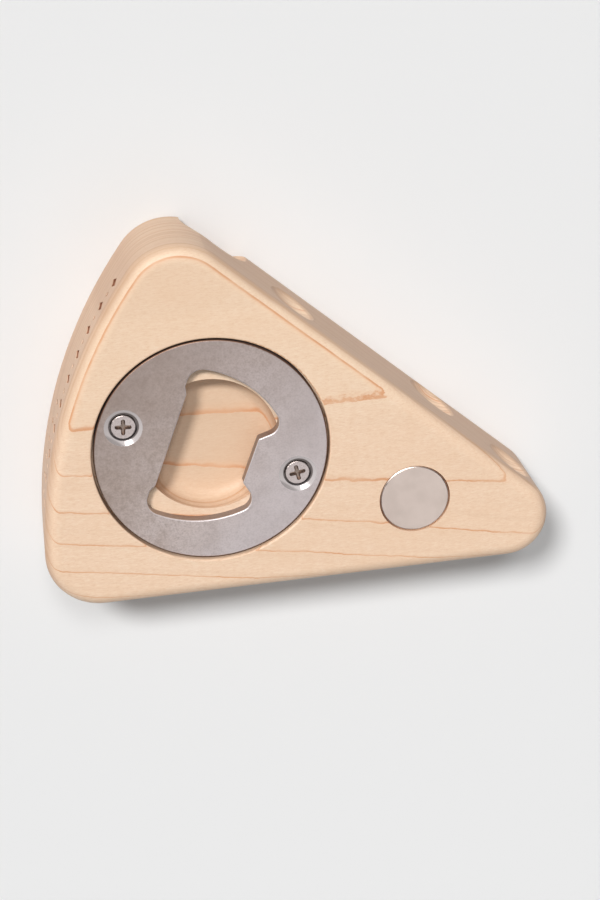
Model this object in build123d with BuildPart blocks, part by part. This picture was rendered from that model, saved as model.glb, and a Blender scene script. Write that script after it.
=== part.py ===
from build123d import *
import os
from math import cos, sin, sqrt, radians

os.makedirs("parts", exist_ok=True)

# Souvenir bottle opener: a maple wedge shaped like a slice of cheese, with a round steel
# opener plate let into its front, two screws through the plate and a disc magnet near the tip.
# The piece lies on its back: back face at Z = 0, front face at Z = THICKNESS.
# All dimensions are in millimetres.

# Wooden wedge
THICKNESS = 25.4
TIP_ANGLE = 42.0            # between the straight bottom side and the sloping side
BOTTOM_SIDE = 126.7         # sharp tip to sharp lower corner
SLOPE_SIDE = 127.1          # sharp tip to sharp top corner
RIND_RADIUS = 109.2         # the curved back of the slice
TIP_RADIUS = 9.45
LOWER_RADIUS = 11.9
TOP_RADIUS = 12.5
EDGE_RADIUS = 3.175         # rounding along both faces
TIP_X = 71.0                # sharp tip, with the finished wedge centred on the origin
TIP_Y = -39.95

# Opener plate and its recess
PLATE_X = -18.22
PLATE_Y = -5.83
PLATE_DIAMETER = 50.2
PLATE_THICKNESS = 2.5
PLATE_TURN = -22.4          # direction of the line through both screws
RECESS_DIAMETER = 51.1
RECESS_DEPTH = 2.9
PLATE_EDGE = 0.3            # tumbled edges
RECESS_EDGE = 0.4           # broken edge around the recess

# Opening in the plate: two shallow arcs, a fulcrum edge on the left and a tooth on the right.
# The sharp lobe corners, where the sides of the tooth meet the arcs, lie at LOBE_X.
OPENING_RADIUS = 23.4
OPENING_CENTRE_X = -4.5
OPENING_CENTRE_Y = -6.1     # for the upper arc; the lower arc mirrors it
FULCRUM_X = -9.1
FULCRUM_HALF = 10.8
SHOULDER_X = -9.9
SHOULDER_START = 12.4
SHOULDER_RADIUS = 3.4
TOOTH_X = 8.9
TOOTH_HALF = 5.3
LOBE_X = 13.4
LOBE_RADIUS = 2.9
TOOTH_RADIUS = 0.6

# Clearance bore for the bottle cap, under the plate
CAP_BORE_DIAMETER = 30.0
CAP_BORE_DEPTH = 8.0        # below the front face
CAP_BORE_SHIFT_X = -0.1
CAP_BORE_SHIFT_Y = 0.5
CAP_BORE_CORNER = 3.0

# Screws, number 4 by half an inch
SCREW_SPACING = 39.3
SCREW_HEAD_DIAMETER = 5.4
SCREW_HEAD_HEIGHT = 1.2
SCREW_HEAD_EDGE = 0.2
SCREW_SEAT_DIAMETER = 6.0
SCREW_SEAT_DEPTH = 1.7      # head seat below the top of the plate
SCREW_MOUTH_DIAMETER = 8.2
SCREW_MOUTH_DEPTH = 0.4     # shallow bevel around each seat
SCREW_HOLE_DIAMETER = 3.2
SCREW_LENGTH = 12.7
SCREW_POINT_LENGTH = 2.5
THREAD_DIAMETER = 2.8
THREAD_CORE_DIAMETER = 2.0
THREAD_PITCH = 1.06
PILOT_DIAMETER = 2.9
CROSS_LENGTH = 3.6
CROSS_WIDTH = 0.9
CROSS_CENTRE_DIAMETER = 1.5
CROSS_DEPTH = 0.9
CROSS_TURNS = (-4.5, 10.0)

# Magnet and its pocket
MAGNET_X = 25.39
MAGNET_Y = -22.43
MAGNET_DIAMETER = 15.5
MAGNET_THICKNESS = 3.0
MAGNET_EDGE = 0.45
MAGNET_POCKET_DIAMETER = 15.75
MAGNET_POCKET_DEPTH = 3.1

# Round "cheese" holes in the sloping side, cut with a ball-nosed tool:
# distance from the sharp tip, height above the back face, diameter at the surface
CHEESE_HOLES = (
    (112.3, 3.4, 18.2),
    (92.5, 15.2, 11.5),
    (50.6, 8.6, 12.6),
    (29.4, 15.9, 11.4),
)
CHEESE_HOLE_BALL = 10.0     # radius of the tool

# Burnt ornament on the rind: lozenges with dots between them, and a short second row of
# narrow lozenges
MARK_DEPTH = 0.35
LOZENGE_WIDTH = 2.2
LOZENGE_HEIGHT = 4.2
DOT_DIAMETER = 1.2
FIRST_ROW_Z = 18.4
FIRST_ROW_COUNT = 22
FIRST_ROW_START = 0.19      # as a fraction of the rind's length from the top corner
FIRST_ROW_END = 0.84
NARROW_WIDTH = 1.2
NARROW_HEIGHT = 3.2
SECOND_ROW_Z = 12.7
SECOND_ROW_COUNT = 8
SECOND_ROW_START = 0.52
SECOND_ROW_END = 0.84

slope_cos = cos(radians(TIP_ANGLE))
slope_sin = sin(radians(TIP_ANGLE))
tip_point = (TIP_X, TIP_Y)
lower_point = (TIP_X - BOTTOM_SIDE, TIP_Y)
top_point = (TIP_X - SLOPE_SIDE * slope_cos, TIP_Y + SLOPE_SIDE * slope_sin)
rind_arc = RadiusArc(top_point, lower_point, -RIND_RADIUS)

recess_floor_z = THICKNESS - RECESS_DEPTH
plate_top_z = recess_floor_z + PLATE_THICKNESS
screw_seat_z = plate_top_z - SCREW_SEAT_DEPTH
cap_floor_z = THICKNESS - CAP_BORE_DEPTH

turn_cos = cos(radians(PLATE_TURN))
turn_sin = sin(radians(PLATE_TURN))
# plane on the sloping side, X running from the tip towards the top corner and Z outwards
slope_plane = Plane(
    origin=(TIP_X, TIP_Y, 0),
    x_dir=(-slope_cos, slope_sin, 0),
    z_dir=(slope_sin, slope_cos, 0),
)


def plate_plane(height):
    # plane at the given height with its X axis through both screws
    return Plane(origin=(PLATE_X, PLATE_Y, height), x_dir=(turn_cos, turn_sin, 0), z_dir=(0, 0, 1))


def rind_plane(fraction, height):
    # plane touching the rind, X along the rind and Z pointing outwards
    point = rind_arc @ fraction
    along = rind_arc % fraction
    return Plane(origin=(point.X, point.Y, height), x_dir=(along.X, along.Y, 0), z_dir=(along.Y, -along.X, 0))


def row_fraction(index, count, start, end):
    return start + (end - start) * index / (count - 1)


def lozenge(width, height):
    Polygon((-width / 2, 0), (0, -height / 2), (width / 2, 0), (0, height / 2))


screw_places = ((-SCREW_SPACING / 2, 0), (SCREW_SPACING / 2, 0))

# ---------------------------------------------------------------- wooden body
with BuildPart() as wooden_body:
    with BuildSketch(Plane.XY):
        with BuildLine():
            Line(lower_point, tip_point)
            Line(tip_point, top_point)
            add(rind_arc)
        make_face()
        fillet(vertices().sort_by(Axis.X)[-1], TIP_RADIUS)
        fillet(vertices().sort_by(Axis.Y)[-1], TOP_RADIUS)
        fillet(vertices().sort_by(Axis.X)[0], LOWER_RADIUS)
    extrude(amount=THICKNESS)
    fillet(edges().group_by(Axis.Z)[0] + edges().group_by(Axis.Z)[-1], EDGE_RADIUS)

    # recess for the plate, then the deeper bore for the bottle cap
    with BuildSketch(plate_plane(recess_floor_z)):
        Circle(RECESS_DIAMETER / 2)
    extrude(amount=RECESS_DEPTH + 1, mode=Mode.SUBTRACT)
    fillet(edges(Select.LAST).group_by(Axis.Z)[-1], RECESS_EDGE)
    with BuildSketch(Plane.XY.offset(cap_floor_z)):
        with Locations((PLATE_X + CAP_BORE_SHIFT_X, PLATE_Y + CAP_BORE_SHIFT_Y)):
            Circle(CAP_BORE_DIAMETER / 2)
    extrude(amount=CAP_BORE_DEPTH, mode=Mode.SUBTRACT)
    bore_floor = faces().filter_by(Plane.XY).filter_by_position(Axis.Z, cap_floor_z - 0.1, cap_floor_z + 0.1)
    fillet(bore_floor.edges(), CAP_BORE_CORNER)

    # pilot holes for the screws
    with BuildSketch(plate_plane(recess_floor_z)):
        with Locations(*screw_places):
            Circle(PILOT_DIAMETER / 2)
    extrude(amount=-SCREW_LENGTH, mode=Mode.SUBTRACT)

    # pocket for the magnet
    with BuildSketch(Plane.XY.offset(THICKNESS - MAGNET_POCKET_DEPTH)):
        with Locations((MAGNET_X, MAGNET_Y)):
            Circle(MAGNET_POCKET_DIAMETER / 2)
    extrude(amount=MAGNET_POCKET_DEPTH + 1, mode=Mode.SUBTRACT)

    # cheese holes in the sloping side, the ball's centre standing clear of the surface
    for along, height, diameter in CHEESE_HOLES:
        standoff = sqrt(CHEESE_HOLE_BALL ** 2 - (diameter / 2) ** 2)
        with Locations(slope_plane):
            with Locations((along, height, standoff)):
                Sphere(CHEESE_HOLE_BALL, mode=Mode.SUBTRACT)

    # burnt ornament on the rind
    for index in range(FIRST_ROW_COUNT):
        fraction = row_fraction(index, FIRST_ROW_COUNT, FIRST_ROW_START, FIRST_ROW_END)
        with BuildSketch(rind_plane(fraction, FIRST_ROW_Z)):
            if index % 2 == 0:
                lozenge(LOZENGE_WIDTH, LOZENGE_HEIGHT)
            else:
                Circle(DOT_DIAMETER / 2)
        extrude(amount=-MARK_DEPTH, mode=Mode.SUBTRACT)
    for index in range(SECOND_ROW_COUNT):
        fraction = row_fraction(index, SECOND_ROW_COUNT, SECOND_ROW_START, SECOND_ROW_END)
        with BuildSketch(rind_plane(fraction, SECOND_ROW_Z)):
            lozenge(NARROW_WIDTH, NARROW_HEIGHT)
        extrude(amount=-MARK_DEPTH, mode=Mode.SUBTRACT)
wooden_body.part.label = "wooden_body"

# ---------------------------------------------------------------- opener plate
with BuildPart() as opener_plate:
    with BuildSketch(plate_plane(recess_floor_z)):
        Circle(PLATE_DIAMETER / 2)
        shoulder_end = OPENING_CENTRE_Y + sqrt(OPENING_RADIUS ** 2 - (SHOULDER_X - OPENING_CENTRE_X) ** 2)
        lobe_y = OPENING_CENTRE_Y + sqrt(OPENING_RADIUS ** 2 - (LOBE_X - OPENING_CENTRE_X) ** 2)
        with BuildSketch(mode=Mode.PRIVATE) as opening:
            with BuildLine():
                Line((FULCRUM_X, 0), (FULCRUM_X, FULCRUM_HALF))
                Line((FULCRUM_X, FULCRUM_HALF), (SHOULDER_X, SHOULDER_START))
                Line((SHOULDER_X, SHOULDER_START), (SHOULDER_X, shoulder_end))
                RadiusArc((SHOULDER_X, shoulder_end), (LOBE_X, lobe_y), OPENING_RADIUS)
                Line((LOBE_X, lobe_y), (TOOTH_X, TOOTH_HALF))
                Line((TOOTH_X, TOOTH_HALF), (TOOTH_X, 0))
                mirror(about=Plane.XZ)
            make_face()
            fillet(vertices().sort_by(Axis.X)[-2:], LOBE_RADIUS)
            fillet(vertices().filter_by_position(Axis.X, TOOTH_X - 0.01, TOOTH_X + 0.01), TOOTH_RADIUS)
            fillet(vertices().filter_by(lambda v: abs(abs(v.Y) - shoulder_end) < 0.01), SHOULDER_RADIUS)
        add(opening.sketch, mode=Mode.SUBTRACT)
    extrude(amount=PLATE_THICKNESS)
    fillet(edges().group_by(Axis.Z)[-1], PLATE_EDGE)
    with BuildSketch(plate_plane(screw_seat_z)):
        with Locations(*screw_places):
            Circle(SCREW_SEAT_DIAMETER / 2)
    extrude(amount=SCREW_SEAT_DEPTH, mode=Mode.SUBTRACT)
    with Locations(plate_plane(plate_top_z)):
        with Locations(*screw_places):
            Cone(
                SCREW_SEAT_DIAMETER / 2,
                SCREW_MOUTH_DIAMETER / 2,
                SCREW_MOUTH_DEPTH,
                align=(Align.CENTER, Align.CENTER, Align.MAX),
                mode=Mode.SUBTRACT,
            )
    with BuildSketch(plate_plane(recess_floor_z)):
        with Locations(*screw_places):
            Circle(SCREW_HOLE_DIAMETER / 2)
    extrude(amount=PLATE_THICKNESS, mode=Mode.SUBTRACT)
opener_plate.part.label = "opener_plate"

# ---------------------------------------------------------------- screws
thread_turns = int((SCREW_LENGTH - SCREW_POINT_LENGTH - PLATE_THICKNESS) / THREAD_PITCH)
for side, cross_turn in zip((-1, 1), CROSS_TURNS):
    screw_x = PLATE_X + side * SCREW_SPACING / 2 * turn_cos
    screw_y = PLATE_Y + side * SCREW_SPACING / 2 * turn_sin
    head_top_z = screw_seat_z + SCREW_HEAD_HEIGHT
    with BuildPart() as screw:
        # head, core and point as one turned profile
        with BuildSketch(Plane.XZ):
            with BuildLine():
                Polyline(
                    (0, SCREW_HEAD_HEIGHT),
                    (SCREW_HEAD_DIAMETER / 2, SCREW_HEAD_HEIGHT),
                    (SCREW_HEAD_DIAMETER / 2, 0),
                    (THREAD_CORE_DIAMETER / 2, 0),
                    (THREAD_CORE_DIAMETER / 2, -SCREW_LENGTH + SCREW_POINT_LENGTH),
                    (0, -SCREW_LENGTH),
                    (0, SCREW_HEAD_HEIGHT),
                )
            make_face()
        revolve(axis=Axis.Z)
        fillet(edges().group_by(Axis.Z)[-1], SCREW_HEAD_EDGE)
        # thread crests
        for turn in range(thread_turns):
            crest_z = -PLATE_THICKNESS - turn * THREAD_PITCH
            with BuildSketch(Plane.XZ):
                with BuildLine():
                    Polyline(
                        (THREAD_CORE_DIAMETER / 2 - 0.1, crest_z - 0.4),
                        (THREAD_DIAMETER / 2, crest_z - 0.05),
                        (THREAD_DIAMETER / 2, crest_z + 0.05),
                        (THREAD_CORE_DIAMETER / 2 - 0.1, crest_z + 0.3),
                        close=True,
                    )
                make_face()
            revolve(axis=Axis.Z)
        # cross recess
        with BuildSketch(Plane.XY.offset(SCREW_HEAD_HEIGHT)):
            with Locations(Rotation(0, 0, cross_turn)):
                SlotOverall(CROSS_LENGTH, CROSS_WIDTH)
                SlotOverall(CROSS_LENGTH, CROSS_WIDTH, rotation=90)
                Circle(CROSS_CENTRE_DIAMETER / 2)
        extrude(amount=-CROSS_DEPTH, taper=16, mode=Mode.SUBTRACT)
    placed = Pos(screw_x, screw_y, screw_seat_z) * screw.part
    name = "plate_screw_left" if side < 0 else "plate_screw_right"
    placed.label = name
    export_step(placed, f"parts/{name}.step")

# ---------------------------------------------------------------- magnet
with BuildPart() as disc_magnet:
    with BuildSketch(Plane.XY.offset(THICKNESS - MAGNET_POCKET_DEPTH)):
        with Locations((MAGNET_X, MAGNET_Y)):
            Circle(MAGNET_DIAMETER / 2)
    extrude(amount=MAGNET_THICKNESS)
    fillet(edges().filter_by(GeomType.CIRCLE), MAGNET_EDGE)
disc_magnet.part.label = "disc_magnet"

export_step(wooden_body.part, "parts/wooden_body.step")
export_step(opener_plate.part, "parts/opener_plate.step")
export_step(disc_magnet.part, "parts/disc_magnet.step")
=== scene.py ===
from math import cos, radians, sin

import bpy
from mathutils import Matrix, Vector


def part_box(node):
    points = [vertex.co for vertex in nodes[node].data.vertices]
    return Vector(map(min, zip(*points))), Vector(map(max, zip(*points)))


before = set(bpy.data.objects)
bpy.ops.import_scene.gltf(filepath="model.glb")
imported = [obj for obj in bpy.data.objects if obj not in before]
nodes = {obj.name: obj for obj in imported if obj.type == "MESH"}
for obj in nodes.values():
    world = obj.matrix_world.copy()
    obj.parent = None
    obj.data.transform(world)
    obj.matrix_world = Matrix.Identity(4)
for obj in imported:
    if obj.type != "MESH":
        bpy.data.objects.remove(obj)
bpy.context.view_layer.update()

MM = 0.001


def centre_of(node):
    """The middle of a CAD node's box, seen from above, in millimetres."""
    low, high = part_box(node)
    return ((low[0] + high[0]) / 2 / MM, (low[1] + high[1]) / 2 / MM)


def top_of(node):
    """The height of a CAD node's top, in millimetres."""
    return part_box(node)[1][2] / MM


# Places taken from the frame, in millimetres
FACE_Z = top_of("wooden_body")
SCREW_HEAD_Z = top_of("plate_screw_left")
SCREW_CENTRES = (centre_of("plate_screw_left"), centre_of("plate_screw_right"))
PLATE_CENTRE = tuple((left + right) / 2 for left, right in zip(*SCREW_CENTRES))

# Shared with the CAD model, in millimetres
PLATE_RADIUS = 25.1
SEAT_RADIUS = 3.0
BEVEL_RADIUS = 4.1          # outer edge of the bevel around each screw
RIND_CENTRE = (53.25, -32.63)
RIND_RADIUS = 109.2
TIP = (71.0, -39.95)        # sharp corner where the bottom meets the sloping side
TIP_ANGLE = radians(42.0)


# ---------------------------------------------------------------- node helpers
class Graph:
    """A material's node tree, with one short call for each kind of node.

    point, x, y and z are the place on the object in millimetres, in the CAD frame.
    """

    def __init__(self, name):
        self.material = bpy.data.materials.new(name)
        self.material.use_nodes = True
        self.tree = self.material.node_tree
        self.tree.nodes.clear()
        self.shader = self.tree.nodes.new("ShaderNodeBsdfPrincipled")
        output = self.tree.nodes.new("ShaderNodeOutputMaterial")
        self.tree.links.new(self.shader.outputs["BSDF"], output.inputs["Surface"])
        coords = self.tree.nodes.new("ShaderNodeTexCoord")
        scale = self.tree.nodes.new("ShaderNodeVectorMath")
        scale.operation = "SCALE"
        scale.inputs["Scale"].default_value = 1 / MM
        self.tree.links.new(coords.outputs["Object"], scale.inputs[0])
        self.point = scale.outputs["Vector"]
        self.x, self.y, self.z = self.split(self.point)

    def put(self, socket, value):
        if isinstance(value, bpy.types.NodeSocket):
            self.tree.links.new(value, socket)
        else:
            socket.default_value = value

    def split(self, vector):
        node = self.tree.nodes.new("ShaderNodeSeparateXYZ")
        self.tree.links.new(vector, node.inputs[0])
        return node.outputs[0], node.outputs[1], node.outputs[2]

    def math(self, operation, a, b=0.0):
        node = self.tree.nodes.new("ShaderNodeMath")
        node.operation = operation
        self.put(node.inputs[0], a)
        self.put(node.inputs[1], b)
        return node.outputs[0]

    def add(self, a, b):
        return self.math("ADD", a, b)

    def sub(self, a, b):
        return self.math("SUBTRACT", a, b)

    def mul(self, a, b):
        return self.math("MULTIPLY", a, b)

    def maximum(self, a, b):
        return self.math("MAXIMUM", a, b)

    def ramp(self, value, low, high, out_low=0.0, out_high=1.0, smooth=True):
        """out_low at low, out_high at high, and flat beyond them."""
        node = self.tree.nodes.new("ShaderNodeMapRange")
        node.interpolation_type = "SMOOTHSTEP" if smooth else "LINEAR"
        for socket, item in zip(node.inputs[:5], (value, low, high, out_low, out_high)):
            self.put(socket, item)
        return node.outputs[0]

    def fade(self, value, low, high):
        """One below low, nothing above high."""
        return self.ramp(value, low, high, 1.0, 0.0)

    def vector(self, x, y, z):
        node = self.tree.nodes.new("ShaderNodeCombineXYZ")
        for socket, item in zip(node.inputs, (x, y, z)):
            self.put(socket, item)
        return node.outputs[0]

    def noise(self, vector, detail=2.0, roughness=0.5):
        node = self.tree.nodes.new("ShaderNodeTexNoise")
        node.inputs["Scale"].default_value = 1.0
        node.inputs["Detail"].default_value = detail
        node.inputs["Roughness"].default_value = roughness
        self.put(node.inputs["Vector"], vector)
        return node.outputs["Fac"]

    def speckle(self, per_mm, shift=(0.0, 0.0, 0.0), detail=2.0, roughness=0.5):
        """Noise with its own fineness along each axis."""
        node = self.tree.nodes.new("ShaderNodeVectorMath")
        node.operation = "MULTIPLY_ADD"
        self.put(node.inputs[0], self.point)
        node.inputs[1].default_value = per_mm
        node.inputs[2].default_value = shift
        return self.noise(node.outputs[0], detail, roughness)

    def mix(self, factor, a, b):
        node = self.tree.nodes.new("ShaderNodeMix")
        node.data_type = "RGBA"
        node.clamp_factor = True
        self.put(node.inputs[0], factor)
        self.put(node.inputs[6], a)
        self.put(node.inputs[7], b)
        return node.outputs[2]

    def radius_about(self, centre_x, centre_y):
        """Distance from an upright axis."""
        dx = self.sub(self.x, centre_x)
        dy = self.sub(self.y, centre_y)
        return self.math("SQRT", self.add(self.mul(dx, dx), self.mul(dy, dy)))

    def facing(self, axis):
        """How squarely the surface faces along an axis: 0 for x, 1 for y, 2 for z."""
        geometry = self.tree.nodes.new("ShaderNodeNewGeometry")
        return self.math("ABSOLUTE", self.split(geometry.outputs["Normal"])[axis])

    def bump(self, height, distance, strength):
        node = self.tree.nodes.new("ShaderNodeBump")
        node.inputs["Strength"].default_value = strength
        node.inputs["Distance"].default_value = distance * MM
        self.put(node.inputs["Height"], height)
        self.tree.links.new(node.outputs["Normal"], self.shader.inputs["Normal"])

    def surface(self, colour, metallic, roughness):
        self.put(self.shader.inputs["Base Color"], colour)
        self.put(self.shader.inputs["Metallic"], metallic)
        self.put(self.shader.inputs["Roughness"], roughness)


def srgb(red, green, blue, gain):
    """A colour given as 0-255 display values, as a linear albedo."""
    out = []
    for value in (red, green, blue):
        value = value / 255
        linear = value / 12.92 if value <= 0.04045 else ((value + 0.055) / 1.055) ** 2.4
        out.append(linear * gain)
    return (*out, 1.0)


# ---------------------------------------------------------------- maple
ALBEDO = 0.97
TOP_WOOD = srgb(242, 214, 186, ALBEDO)
LOWER_WOOD = srgb(240, 209, 181, ALBEDO)
FIBRE = srgb(224, 184, 148, ALBEDO)
PALE_FIBRE = srgb(250, 230, 207, ALBEDO)
FLECK = srgb(222, 180, 144, ALBEDO)
CLOUD = srgb(234, 198, 166, ALBEDO)
RIPPLE = srgb(228, 188, 152, ALBEDO)
# painted shade for the wood inside the cap bore
SHADED_BORE_WOOD = srgb(224, 190, 158, 0.84)
LATEWOOD_GLOW = srgb(233, 189, 152, ALBEDO)
LATEWOOD = srgb(219, 160, 119, ALBEDO)
# painted shade for the sloping side and the top corner side
PAINTED_SIDE_SHADE = srgb(214, 179, 151, 0.79)
END_GRAIN = srgb(215, 176, 146, 0.9)
LAYER = srgb(203, 155, 116, 0.85)
CHAR_PALE = srgb(172, 118, 88, 0.9)
CHAR_DARK = srgb(134, 86, 62, 0.9)

# Growth rings, in millimetres and in rings
RING_SPACING = 4.38         # straight down from the front face
RINGS_RISE_Y = 2.2          # lower than this on the face, the rings come through it
RINGS_RISE_DROP = 0.6       # how far that height drops for each millimetre of depth
RINGS_PER_MM = 0.0832       # crossed on the way down the face
RINGS_PER_MM_GROWTH = 0.001044
SLOPE_START_X = -43.0
LINE_SLOPE_LEFT = 0.17      # slope of the lines near the rind, then on the rest of the face
LINE_SLOPE = 0.10
LINE_SLOPE_OFFSET = 7.8
TIP_DROOP = 4.2             # the lowest lines bend down by this much towards the tip
TOP_LINE_DIP = 0.075        # rings by which the wood just above the uppermost line falls short
WANDER = 0.26               # slow and quick unevenness of the lines
TREMBLE = 0.11

# The rings take a smooth step between the floor of the recess and the cap bore
BORE_STEP = 0.62
BORE_STEP_RADII = (17.0, 20.0)
BORE_STEP_DEPTHS = (3.2, 7.8)
BORE_STEP_GONE = (12.5, 18.0)

BURN_DEPTH = 0.6            # of the ornament, below the rind's surface


def cap_bore_zone(g, depth):
    """One in the wood around the cap bore, nothing at the face and at the back."""
    in_depth = g.mul(g.ramp(depth, *BORE_STEP_DEPTHS), g.fade(depth, *BORE_STEP_GONE))
    return g.mul(g.fade(g.radius_about(*PLATE_CENTRE), *BORE_STEP_RADII), in_depth)


def growth_rings(g, depth, below):
    """Rings crossed on the way to a point, where each whole number is a dark line.

    Ring surfaces lie almost parallel to the front face and rise through it towards the bottom.
    """
    slope_left = g.mul(g.sub(g.x, SLOPE_START_X), LINE_SLOPE_LEFT)
    slope_right = g.add(g.mul(g.x, LINE_SLOPE), LINE_SLOPE_OFFSET)
    slant = g.math("MINIMUM", slope_left, slope_right)
    towards_tip = g.ramp(g.x, 0.0, 50.0, 0.0, TIP_DROOP, smooth=False)
    droop = g.mul(g.ramp(below, 21.0, 33.0), towards_tip)
    down = g.sub(g.sub(below, g.mul(slant, g.ramp(below, 0.0, 22.0))), droop)
    past = g.maximum(down, 0.0)
    crossing = g.add(g.mul(past, RINGS_PER_MM), g.mul(g.mul(past, past), RINGS_PER_MM_GROWTH))

    # the uppermost line is ragged, more so towards the tip
    ragged = g.speckle((0.45, 0.8, 0.8), (2.2, 3.3, 6.1), detail=4.0, roughness=0.65)
    ragged_down = g.add(down, g.mul(g.sub(ragged, 0.5), g.ramp(g.x, -30.0, 15.0, 1.0, 5.0)))
    dip_start = g.ramp(g.x, -30.0, 20.0, -1.7, -2.4)
    dip = g.ramp(ragged_down, dip_start, 0.0, -1.0, 0.0, smooth=False)
    ring = g.add(g.add(g.mul(depth, 1 / RING_SPACING), crossing), g.mul(dip, TOP_LINE_DIP))

    # the upper part of the face is calmer than the rest
    calm = g.ramp(below, -4.0, 10.0, 0.12, 1.0)
    wander = g.speckle((0.02, 0.06, 0.06), (3.1, 7.7, 1.3))
    tremble = g.speckle((0.35, 0.6, 0.6), (9.2, 0.4, 5.5), detail=3.0)
    ring = g.add(ring, g.mul(g.mul(g.sub(wander, 0.5), WANDER), calm))
    return g.add(ring, g.mul(g.mul(g.sub(tremble, 0.5), TREMBLE), calm))


def grain(g, colour, fibre):
    """Short fibres and ray flecks along the grain, soft clouds, and a ripple across it."""
    fleck = g.speckle((1.4, 4.6, 4.6), (5.0, 2.0, 1.0), roughness=0.6)
    cloud = g.speckle((0.03, 0.06, 0.06), (2.0, 6.0, 4.0))
    ripple = g.speckle((0.5, 0.12, 0.12), (8.0, 3.0, 2.0))
    colour = g.mix(g.ramp(fibre, 0.48, 0.74, 0.0, 0.42), colour, FIBRE)
    colour = g.mix(g.ramp(fleck, 0.52, 0.72, 0.0, 0.38), colour, FLECK)
    colour = g.mix(g.ramp(fibre, 0.5, 0.28, 0.0, 0.45), colour, PALE_FIBRE)
    colour = g.mix(g.ramp(cloud, 0.4, 0.7, 0.0, 0.25), colour, CLOUD)
    return g.mix(g.ramp(ripple, 0.45, 0.7, 0.0, 0.09), colour, RIPPLE)


def latewood_line(g, phase, deep):
    """One on each thin dark line, weaker where the line is interrupted."""
    start = g.ramp(deep, 0.0, 1.0, 0.945, 0.90)
    line = g.mul(g.ramp(phase, start, 0.98), g.fade(phase, 0.99, 1.0))
    breaks = g.speckle((0.08, 0.2, 0.2), (1.7, 4.2, 8.8), detail=3.0)
    return g.mul(line, g.ramp(breaks, 0.3, 0.62, 0.45, 1.0))


def side_shade_zone(g):
    """Where painted shade goes: one on the sloping side, less at the top corner, nothing inside
    the cheese holes.
    """
    across = g.mul(g.sub(TIP[0], g.x), sin(TIP_ANGLE))
    to_slope = g.add(across, g.mul(g.sub(TIP[1], g.y), cos(TIP_ANGLE)))
    return g.maximum(g.fade(to_slope, 0.15, 0.5), g.ramp(g.y, 24.0, 27.0, 0.0, 0.7))


def burnt_zone(g):
    """One on the cut surfaces of the ornament, which lie just under the rind's surface."""
    inside = g.sub(RIND_RADIUS, g.radius_about(*RIND_CENTRE))
    under_rind = g.mul(g.ramp(inside, 0.06, 0.22), g.fade(inside, BURN_DEPTH, BURN_DEPTH + 0.1))
    band = g.mul(g.ramp(g.z, 9.5, 10.0), g.fade(g.z, 21.2, 21.6))
    along = g.mul(g.fade(g.x, -34.5, -34.0), g.ramp(g.y, -27.0, -26.5))
    return g.mul(g.mul(under_rind, band), along)


def maple():
    g = Graph("maple_oiled")
    depth = g.sub(FACE_Z, g.z)
    below = g.add(g.sub(RINGS_RISE_Y, g.y), g.mul(depth, RINGS_RISE_DROP))
    bore = cap_bore_zone(g, depth)
    ring = g.add(growth_rings(g, depth, below), g.mul(bore, BORE_STEP))
    phase = g.math("FRACT", ring)
    fibre = g.speckle((0.8, 3.6, 3.6), detail=3.0, roughness=0.65)

    colour = g.mix(g.ramp(below, -6.0, 8.0), TOP_WOOD, LOWER_WOOD)
    colour = grain(g, colour, fibre)
    # painted shade darkens the wood in the cap bore
    colour = g.mix(g.mul(bore, 0.5), colour, SHADED_BORE_WOOD)

    # each dark line, and the glow that leads up to it, are broader in the cap bore
    deep = g.ramp(depth, 4.0, 7.0)
    glow = g.mul(g.ramp(phase, g.ramp(deep, 0.0, 1.0, 0.90, 0.78), 0.985), 0.5)
    line = latewood_line(g, phase, deep)
    colour = g.mix(glow, colour, LATEWOOD_GLOW)
    colour = g.mix(line, colour, LATEWOOD)

    # painted shade darkens the sloping side and the top corner side a little, and the end grain
    # on the rind is greyer
    upright = g.ramp(g.facing(2), 0.35, 0.9, 1.0, 0.12)
    colour = g.mix(g.mul(g.mul(upright, side_shade_zone(g)), 0.8), colour, PAINTED_SIDE_SHADE)
    colour = g.mix(g.ramp(g.facing(0), 0.35, 0.95, 0.0, 0.7), colour, END_GRAIN)

    # fine layers inside each ring, seen where the sides cut across them
    along_layers = g.vector(g.mul(ring, 5.2), g.mul(g.x, 0.012), g.mul(g.y, 0.012))
    layers = g.noise(along_layers, detail=3.0, roughness=0.6)
    colour = g.mix(g.mul(g.ramp(layers, 0.42, 0.7, 0.0, 0.48), upright), colour, LAYER)

    burnt = burnt_zone(g)
    soot = g.speckle((0.9, 0.9, 0.9), detail=3.0)
    colour = g.mix(burnt, colour, g.mix(g.ramp(soot, 0.35, 0.65), CHAR_PALE, CHAR_DARK))

    rough = g.add(g.mul(fibre, 0.14), 0.40)
    g.surface(colour, 0.0, g.add(rough, g.mul(burnt, 0.25)))
    g.shader.inputs["Specular IOR Level"].default_value = 0.35
    g.bump(g.add(g.mul(fibre, 0.7), g.mul(line, -0.3)), 0.03, 0.35)
    return g.material


# ---------------------------------------------------------------- opener plate
STEEL_WARM = (0.79, 0.655, 0.60, 1)
STEEL_COOL = (0.84, 0.725, 0.70, 1)
STEEL_PATCH = (0.62, 0.49, 0.42, 1)
STEEL_PEBBLE = (0.53, 0.43, 0.385, 1)
GRIT_DARK = (0.50, 0.41, 0.37, 1)
GRIT_BRIGHT = (0.93, 0.82, 0.79, 1)
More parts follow.
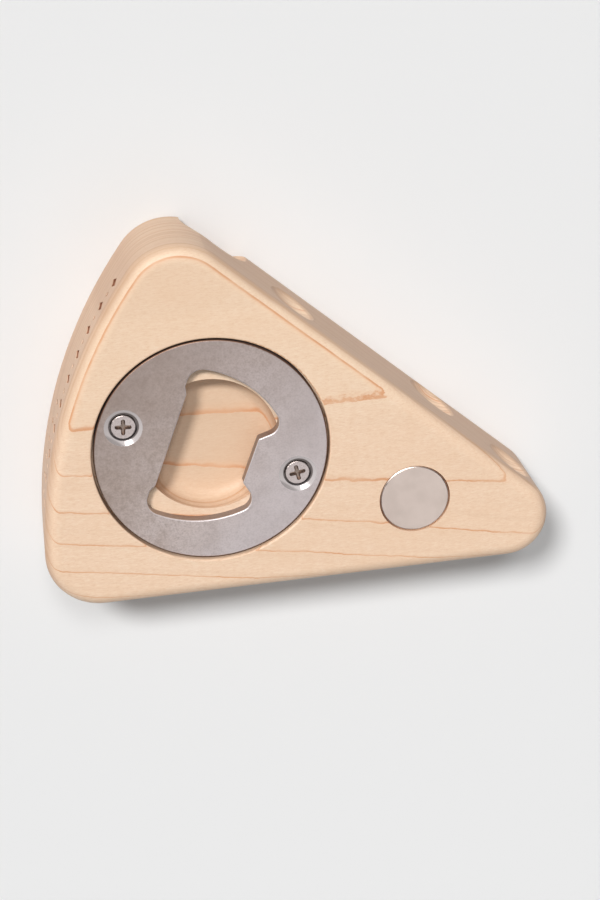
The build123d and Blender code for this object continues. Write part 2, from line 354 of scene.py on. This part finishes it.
# painted shade at the upper left and top, and a painted reflection at the lower right
PAINTED_SHADE_LEFT = (0.42, 0.315, 0.26, 1)
PAINTED_REFLECTION_RIGHT = (0.80, 0.73, 0.75, 1)
PAINTED_SHADE_TOP = (0.42, 0.335, 0.31, 1)
PAINTED_RIM_SHADE = (0.28, 0.155, 0.10, 1)
FRESH_CUT = (0.92, 0.85, 0.84, 1)
PAINTED_SEAT_SHADOW = (0.14, 0.11, 0.10, 1)
PAINTED_EDGE_HIGHLIGHT = (0.80, 0.75, 0.76, 1)
PAINTED_WALL_SHADE = (0.20, 0.18, 0.19, 1)
SHADOW_SHIFT = (0.11, 0.19)  # the painted shadow reaches further at the upper right of each seat


def steel_face(g, patch, pebble, grit):
    """Tumbled steel, with painted shade at the upper left and towards the top, and a painted
    reflection brightening the lower right.
    """
    haze = g.speckle((0.05, 0.07, 0.07), (4.0, 1.0, 2.0), detail=3.0, roughness=0.55)
    colour = g.mix(g.ramp(haze, 0.3, 0.7), STEEL_WARM, STEEL_COOL)
    colour = g.mix(g.ramp(patch, 0.42, 0.75, 0.0, 0.34), colour, STEEL_PATCH)
    colour = g.mix(g.ramp(pebble, 0.42, 0.72, 0.0, 0.4), colour, STEEL_PEBBLE)
    colour = g.mix(g.ramp(grit, 0.45, 0.7, 0.0, 0.5), colour, GRIT_DARK)
    colour = g.mix(g.ramp(grit, 0.5, 0.3, 0.0, 0.35), colour, GRIT_BRIGHT)

    from_x = g.sub(g.x, PLATE_CENTRE[0])
    from_y = g.sub(g.y, PLATE_CENTRE[1])
    up_left = g.add(g.mul(from_x, -0.86), g.mul(from_y, 0.5))
    left_shade = g.add(g.ramp(up_left, -8.0, 27.0, 0.0, 0.62), g.mul(g.sub(pebble, 0.5), 0.5))
    colour = g.mix(left_shade, colour, PAINTED_SHADE_LEFT)
    colour = g.mix(g.ramp(up_left, 4.0, -20.0, 0.0, 0.6), colour, PAINTED_REFLECTION_RIGHT)
    return g.mix(g.ramp(from_y, -12.0, 26.0, 0.0, 0.42), colour, PAINTED_SHADE_TOP)


def screw_surround(g, screw_x, screw_y):
    """The freshly cut bevel around one screw, the painted shadow in and beside its seat, and a
    painted dark reflection on the lower left of the bevel.
    """
    fresh = g.fade(g.radius_about(screw_x, screw_y), BEVEL_RADIUS - 0.05, BEVEL_RADIUS + 0.05)
    shadow_radius = g.radius_about(screw_x + SHADOW_SHIFT[0], screw_y + SHADOW_SHIFT[1])
    in_seat = g.fade(shadow_radius, SEAT_RADIUS + 0.16, SEAT_RADIUS + 0.34)
    # painted dark reflection on the lower left of the bevel
    down_left = g.add(g.mul(g.sub(g.x, screw_x), -0.6), g.mul(g.sub(g.y, screw_y), -0.8))
    on_bevel = g.mul(fresh, g.ramp(down_left, SEAT_RADIUS, SEAT_RADIUS + 0.6, 0.0, 0.55))
    return fresh, g.maximum(in_seat, on_bevel)


def tumbled_steel():
    g = Graph("tumbled_steel")
    patch = g.speckle((0.3, 0.2, 0.3), (1.0, 8.0, 3.0), detail=3.0, roughness=0.55)
    pebble = g.speckle((1.1, 1.1, 1.1), (3.0, 5.0, 7.0), detail=3.0, roughness=0.6)
    grit = g.speckle((2.4, 2.4, 2.4), detail=3.0, roughness=0.7)
    colour = steel_face(g, patch, pebble, grit)

    radius = g.radius_about(*PLATE_CENTRE)
    # painted shade darkens the plate's rounded outer edge
    shaded_rim = g.ramp(radius, PLATE_RADIUS - 0.3, PLATE_RADIUS - 0.12)
    colour = g.mix(shaded_rim, colour, PAINTED_RIM_SHADE)

    fresh_left, seat_shade_left = screw_surround(g, *SCREW_CENTRES[0])
    fresh_right, seat_shade_right = screw_surround(g, *SCREW_CENTRES[1])
    fresh = g.maximum(fresh_left, fresh_right)
    darker_zone = g.maximum(seat_shade_left, seat_shade_right)
    colour = g.mix(g.mul(fresh, 0.85), colour, FRESH_CUT)
    # painted shadow and painted dark reflection around each screw
    colour = g.mix(g.mul(darker_zone, 0.85), colour, PAINTED_SEAT_SHADOW)

    # a painted highlight makes the rounded edge of the opening pale, and painted shade makes
    # its wall dark
    level = g.facing(2)
    on_round = g.mul(g.ramp(level, 0.2, 0.5), g.fade(level, 0.9, 0.99))
    off_rim = g.fade(radius, PLATE_RADIUS - 0.8, PLATE_RADIUS - 0.6)
    edge_highlight = g.mul(on_round, g.mul(off_rim, g.sub(1.0, fresh)))
    colour = g.mix(g.mul(edge_highlight, 0.8), colour, PAINTED_EDGE_HIGHLIGHT)
    # painted shade darkens the wall of the opening
    colour = g.mix(g.mul(g.fade(level, 0.1, 0.2), 0.75), colour, PAINTED_WALL_SHADE)

    metallic = g.sub(1.0, g.mul(g.maximum(fresh, edge_highlight), 0.6))
    rough = g.add(g.mul(grit, 0.12), g.ramp(patch, 0.3, 0.7, 0.28, 0.36))
    rough = g.add(rough, g.mul(shaded_rim, 0.25))
    g.surface(colour, metallic, g.sub(rough, g.mul(fresh, 0.27)))
    g.bump(g.mul(g.add(g.mul(grit, 0.5), pebble), g.sub(1.0, fresh)), 0.02, 0.5)
    return g.material


# ---------------------------------------------------------------- screws and magnet
ZINC_PALE = (0.76, 0.665, 0.645, 1)
ZINC_DARK = (0.66, 0.57, 0.55, 1)
SCREW_DARKER = (0.34, 0.26, 0.21, 1)
NICKEL_PALE = (0.90, 0.755, 0.68, 1)
NICKEL_DARK = (0.86, 0.72, 0.645, 1)


def plated_screw():
    g = Graph("plated_screw")
    grit = g.speckle((2.2, 2.2, 2.2), detail=3.0)
    # darker in the cross recess and on the side of the head
    in_recess = g.ramp(g.z, SCREW_HEAD_Z - 0.5, SCREW_HEAD_Z - 0.1, 0.85, 0.0)
    on_side = g.ramp(g.facing(2), 0.8, 0.95, 0.7, 0.0)
    darker_zone = g.maximum(in_recess, on_side)
    colour = g.mix(darker_zone, g.mix(grit, ZINC_PALE, ZINC_DARK), SCREW_DARKER)
    g.surface(colour, 1.0, g.add(g.mul(darker_zone, 0.25), g.ramp(grit, 0.3, 0.7, 0.2, 0.34)))
    g.bump(grit, 0.01, 0.4)
    return g.material


def nickel():
    g = Graph("satin_nickel")
    cloud = g.speckle((0.22, 0.22, 0.22), (6.0, 1.0, 9.0), detail=3.0)
    grit = g.speckle((3.5, 3.5, 3.5))
    colour = g.mix(g.ramp(cloud, 0.35, 0.65), NICKEL_PALE, NICKEL_DARK)
    g.surface(colour, 1.0, g.add(g.mul(grit, 0.1), g.ramp(cloud, 0.3, 0.7, 0.26, 0.34)))
    g.bump(grit, 0.01, 0.35)
    return g.material


def dress(node, material):
    slots = nodes[node].data.materials
    for index in range(len(slots)):
        slots[index] = material
    if not slots:
        slots.append(material)


screw_metal = plated_screw()
dress("wooden_body", maple())
dress("opener_plate", tumbled_steel())
dress("plate_screw_left", screw_metal)
dress("plate_screw_right", screw_metal)
dress("disc_magnet", nickel())

# ---------------------------------------------------------------- floor
FLOOR_HALF = 2.0
FLOOR_Z = -0.02 * MM        # just clear of the wooden back, so that the two never share a plane
mesh = bpy.data.meshes.new("floor")
corners = [(-FLOOR_HALF, -FLOOR_HALF, FLOOR_Z), (FLOOR_HALF, -FLOOR_HALF, FLOOR_Z)]
corners += [(FLOOR_HALF, FLOOR_HALF, FLOOR_Z), (-FLOOR_HALF, FLOOR_HALF, FLOOR_Z)]
mesh.from_pydata(corners, [], [(0, 1, 2, 3)])
floor = bpy.data.objects.new("floor", mesh)
bpy.context.scene.collection.objects.link(floor)
paper = Graph("pale_paper")
paper.shader.inputs["Base Color"].default_value = (0.80, 0.80, 0.80, 1)
paper.shader.inputs["Roughness"].default_value = 1.0
paper.shader.inputs["Specular IOR Level"].default_value = 0.0
mesh.materials.append(paper.material)

# ---------------------------------------------------------------- light
WALL_LIGHT = 0.26           # white walls low down, and a darker ceiling
CEILING_LIGHT = 0.05
WALL_FADE = (0.1, 0.5)      # from walls to ceiling, as the upward part of a unit direction

scene = bpy.context.scene
scene.view_settings.view_transform = "Standard"
world = bpy.data.worlds.new("studio")
scene.world = world
world.use_nodes = True
tree = world.node_tree
background = tree.nodes["Background"]
background.inputs["Color"].default_value = (1.0, 1.0, 1.0, 1)
sky = tree.nodes.new("ShaderNodeTexCoord")
sky_parts = tree.nodes.new("ShaderNodeSeparateXYZ")
walls = tree.nodes.new("ShaderNodeMapRange")
tree.links.new(sky.outputs["Generated"], sky_parts.inputs[0])
tree.links.new(sky_parts.outputs[2], walls.inputs["Value"])
walls.inputs["From Min"].default_value = WALL_FADE[0]
walls.inputs["From Max"].default_value = WALL_FADE[1]
walls.inputs["To Min"].default_value = WALL_LIGHT
walls.inputs["To Max"].default_value = CEILING_LIGHT
tree.links.new(walls.outputs[0], background.inputs["Strength"])


def sun(name, source, energy, angle):
    """A far light, angle degrees across, that shines from source towards the origin."""
    data = bpy.data.lights.new(name, "SUN")
    data.energy = energy
    data.angle = radians(angle)
    light = bpy.data.objects.new(name, data)
    scene.collection.objects.link(light)
    light.location = source
    light.rotation_euler = (-Vector(source)).to_track_quat("-Z", "Y").to_euler()


sun("key", (-0.45, 0.745, 1.0), 2.38, 12)
sun("second_key", (0.0, 0.74, 1.0), 0.72, 12)
sun("overhead", (-0.12, 0.16, 1.0), 0.36, 20)
sun("fill", (0.20, -0.44, 1.0), 0.34, 45)

# ---------------------------------------------------------------- camera
TURN = radians(6.487)
TILT_SIDE = radians(6.986)
TILT_DOWN = radians(23.962)
TARGET = Vector((-18.46, -5.33, FACE_Z)) * MM       # on the front face, near the plate's centre
CAMERA_FROM_TARGET = Vector((18.99, -0.013, 391.72)) * MM       # along the camera's own axes
LENS = 73.75
SENSOR_WIDTH = 36.0

turn_and_side = Matrix.Rotation(TURN, 3, "Z") @ Matrix.Rotation(TILT_SIDE, 3, "Y")
camera_from_world = turn_and_side @ Matrix.Rotation(TILT_DOWN, 3, "X")
world_from_camera = camera_from_world.transposed()
camera_place = TARGET + world_from_camera @ CAMERA_FROM_TARGET
camera_data = bpy.data.cameras.new("camera")
camera_data.lens = LENS
camera_data.sensor_width = SENSOR_WIDTH
camera_data.clip_start = 0.01
camera = bpy.data.objects.new("camera", camera_data)
camera.matrix_world = Matrix.Translation(camera_place) @ world_from_camera.to_4x4()
scene.collection.objects.link(camera)
scene.camera = camera
